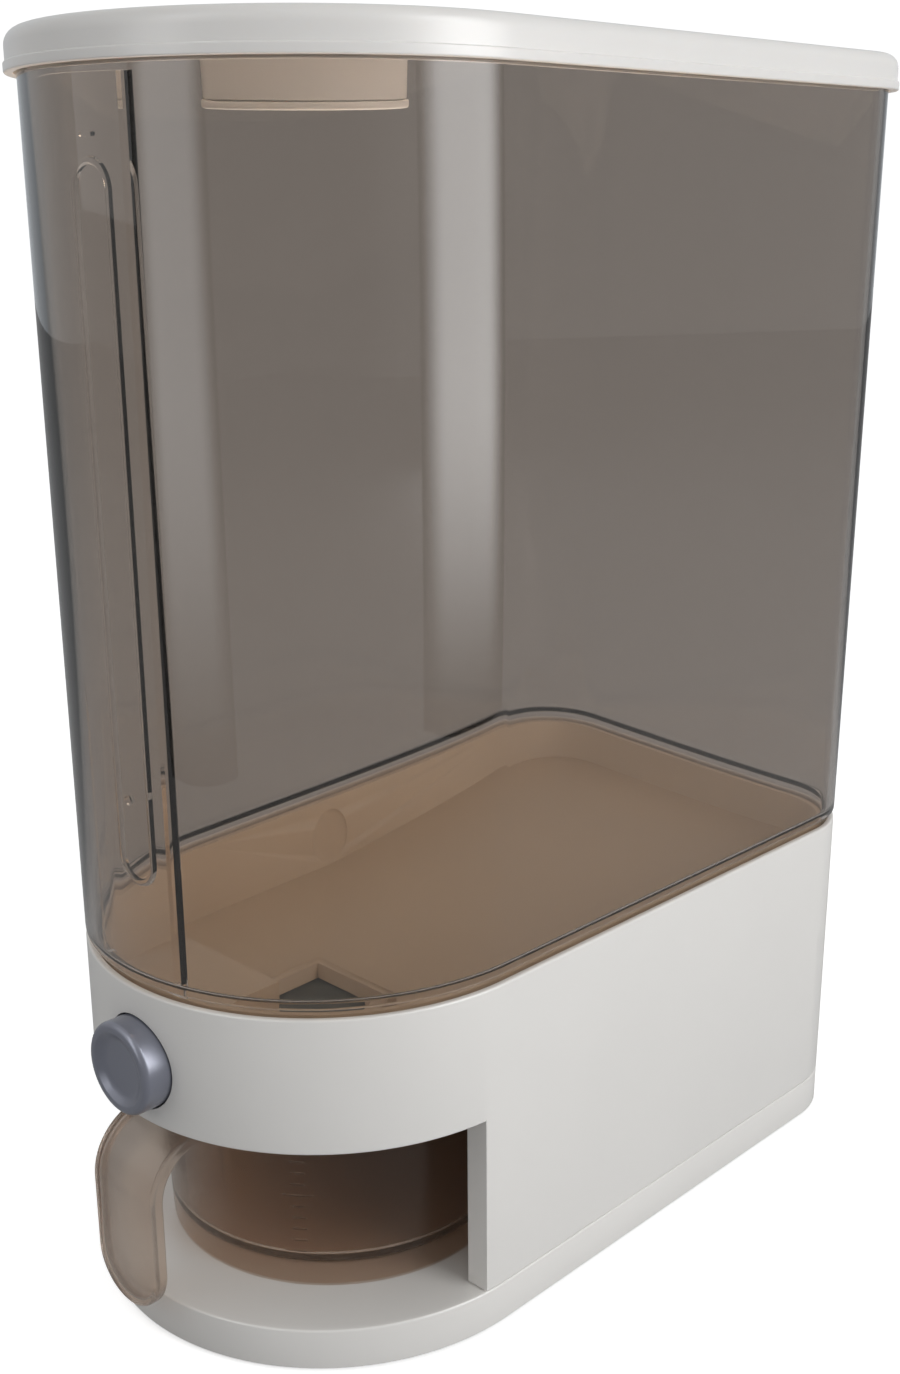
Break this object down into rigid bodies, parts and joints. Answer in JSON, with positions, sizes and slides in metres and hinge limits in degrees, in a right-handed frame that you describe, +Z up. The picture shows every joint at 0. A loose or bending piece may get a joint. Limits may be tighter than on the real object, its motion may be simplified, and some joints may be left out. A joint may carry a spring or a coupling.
{
  "type": "dry food dispenser",
  "caption": "D-shaped dry food dispenser: smoked tank with lift-off lid on a white base, push button that opens a gate, and a hooked measuring cup in a niche.",
  "frame": {"origin": "centre of the bounding box in plan, at the underside of the rubber feet", "axes": "+Z up; the push button and the cup handle face -Y; +X is the right side seen from behind the front face looking out, which is the side at the right hand of a person facing the button"},
  "size_m": [0.1852, 0.3322, 0.43],
  "materials": {
    "base_plastic": "satin white moulded plastic",
    "funnel_plastic": "cream moulded plastic",
    "tank_plastic": "smoked clear moulded plastic, polished",
    "cup_plastic": "smoked clear moulded plastic, polished",
    "lid_plastic": "satin white moulded plastic",
    "button_plastic": "grey-blue metallic plastic",
    "gate_plastic": "dark grey-green moulded plastic",
    "foot_rubber": "matt rubber",
    "silicone": "translucent silicone",
    "steel": "zinc-plated steel",
    "sachet_paper": "breathable paper sachet"
  },
  "bodies": {
    "base": {"base_shell": "base_plastic", "base_plate": "base_plastic", "foot_1": "foot_rubber", "foot_2": "foot_rubber", "foot_3": "foot_rubber", "foot_4": "foot_rubber", "plate_screw_1": "steel", "plate_screw_2": "steel", "plate_screw_3": "steel", "plate_screw_4": "steel", "plate_screw_5": "steel", "plate_screw_6": "steel", "hopper_funnel": "funnel_plastic", "neck_seal": "silicone", "gate_guide": "funnel_plastic", "guide_screw_1": "steel", "guide_screw_2": "steel", "guide_screw_3": "steel", "guide_screw_4": "steel", "return_spring": "steel"},
    "push_slider": {"gate_slider": "gate_plastic", "button_cap": "button_plastic", "button_stem": "gate_plastic", "stem_screw": "steel"},
    "cup": {"measuring_cup": "cup_plastic"},
    "tank": {"tank": "tank_plastic", "tank_channel": "tank_plastic"},
    "lid": {"lid": "lid_plastic", "lid_gasket": "silicone", "desiccant_box": "lid_plastic", "desiccant_sachet": "sachet_paper"},
    "desiccant_cap": {"desiccant_cap": "lid_plastic"}
  },
  "joints": [
    {"name": "button_push", "type": "slide", "parent": "base", "child": "push_slider", "axis": [0, 1, 0], "range_m": [0, 0.01], "stiffness_N_per_m": 300, "springref_m": -0.006, "deforming": ["return_spring"]},
    {"name": "cup_pull", "type": "slide", "parent": "base", "child": "cup", "axis": [0, -1, 0], "range_m": [0, 0.16]},
    {"name": "tank_lift", "type": "slide", "parent": "base", "child": "tank", "axis": [0, 0, 1], "range_m": [0, 0.03]},
    {"name": "lid_lift", "type": "slide", "parent": "tank", "child": "lid", "axis": [0, 0, 1], "range_m": [0, 0.05]},
    {"name": "cap_twist", "type": "hinge", "parent": "lid", "child": "desiccant_cap", "pos_m": [0, -0.06878, 0.4014], "axis": [0, 0, 1], "range_deg": [0, 40]}
  ]
}
